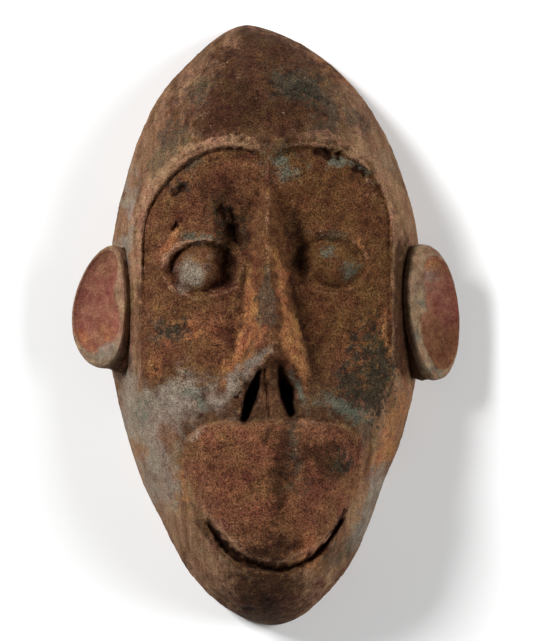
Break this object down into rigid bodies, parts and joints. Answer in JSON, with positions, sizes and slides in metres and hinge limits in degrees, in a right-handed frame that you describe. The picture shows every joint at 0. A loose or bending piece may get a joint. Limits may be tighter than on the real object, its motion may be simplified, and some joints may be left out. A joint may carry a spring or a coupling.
{
  "type": "miniature ape mask",
  "caption": "Small carved wooden ape mask with a sunken face, long nose, round muzzle, cupped ears and a hollowed back, lying on its rim.",
  "frame": {"origin": "middle of the back rim, on the surface that the mask lies on", "axes": "+Z out of the face, +Y towards the crown, +X towards the viewer's right"},
  "size_m": [0.1063, 0.165, 0.0482],
  "materials": {
    "carved_wood": "knife-cut hardwood with a matt crusty patina, rubbed pale on its edges, with red earth rubbed into muzzle and ears"
  },
  "bodies": {
    "root": {"mask": "carved_wood"}
  },
  "joints": []
}
